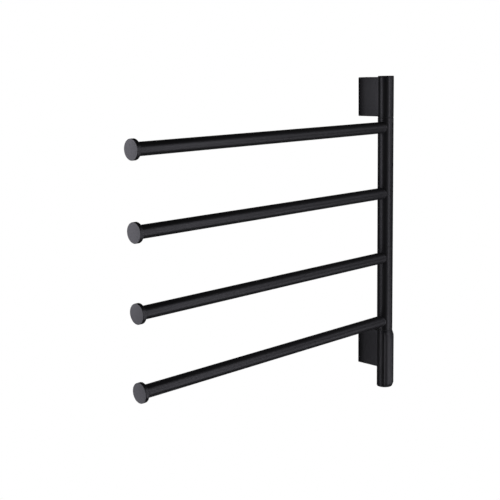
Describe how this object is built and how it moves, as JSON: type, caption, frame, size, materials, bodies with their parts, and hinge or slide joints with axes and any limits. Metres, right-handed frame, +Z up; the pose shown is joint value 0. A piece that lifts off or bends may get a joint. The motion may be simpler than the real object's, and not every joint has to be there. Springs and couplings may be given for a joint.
{
  "type": "swivel heated towel rail",
  "caption": "Wall-hung electric towel rail: level round arms with disc end caps on an upright post that swivels between wall brackets, with a raised control cover at its foot.",
  "frame": {"origin": "on the wall plane, in the middle of the lower wall plate's screw pair", "axes": "+X to the right along the wall, +Y into the wall, +Z up; at rest the arms point along -X"},
  "size_m": [0.5327, 0.0631, 0.5136],
  "materials": {
    "black_coat": "fine satin black powder coat",
    "cover_plastic": "fine satin black moulding",
    "pivot_steel": "turned",
    "plate_steel": "zinc plated",
    "screw_steel": "blackened",
    "bush_plastic": "black bearing plastic",
    "carrier_plastic": "natural white moulding",
    "board_laminate": "green laminate",
    "soft_rubber": "matte",
    "terminal_plastic": "white moulding",
    "lead_sheath": "heat-proof sheath",
    "heater_sheath": "drawn tube",
    "clip_steel": "spring steel"
  },
  "bodies": {
    "wall_frame": {"upper_wall_plate": "plate_steel", "lower_wall_plate": "plate_steel", "upper_bracket": "black_coat", "lower_bracket": "black_coat", "grub_screws": "screw_steel", "upper_knuckle": "black_coat", "control_housing": "black_coat", "top_cap": "black_coat", "bottom_cap": "black_coat", "upper_pivot_pin": "pivot_steel", "lower_spindle": "pivot_steel", "control_cover": "cover_plastic", "board_carrier": "carrier_plastic", "control_board": "board_laminate", "board_screws": "screw_steel", "touch_pad": "soft_rubber", "cable_grommet": "soft_rubber", "terminal_block": "terminal_plastic", "supply_lead": "lead_sheath", "feed_lead": "lead_sheath"},
    "swivel_post": {"post_tube": "black_coat", "post_lower_plug": "pivot_steel", "post_upper_plug": "pivot_steel", "lower_bush": "bush_plastic", "upper_bush": "bush_plastic", "stop_pin": "pivot_steel", "heater_clips": "clip_steel", "heater_loom": "lead_sheath", "arm_1": "black_coat", "arm_cap_1": "black_coat", "heater_1": "heater_sheath", "arm_2": "black_coat", "arm_cap_2": "black_coat", "heater_2": "heater_sheath", "arm_3": "black_coat", "arm_cap_3": "black_coat", "heater_3": "heater_sheath", "arm_4": "black_coat", "arm_cap_4": "black_coat", "heater_4": "heater_sheath"}
  },
  "joints": [
    {"name": "post_swivel", "type": "hinge", "parent": "wall_frame", "child": "swivel_post", "pos_m": [0, -0.048, 0], "axis": [0, 0, 1], "range_deg": [0, 180]}
  ]
}
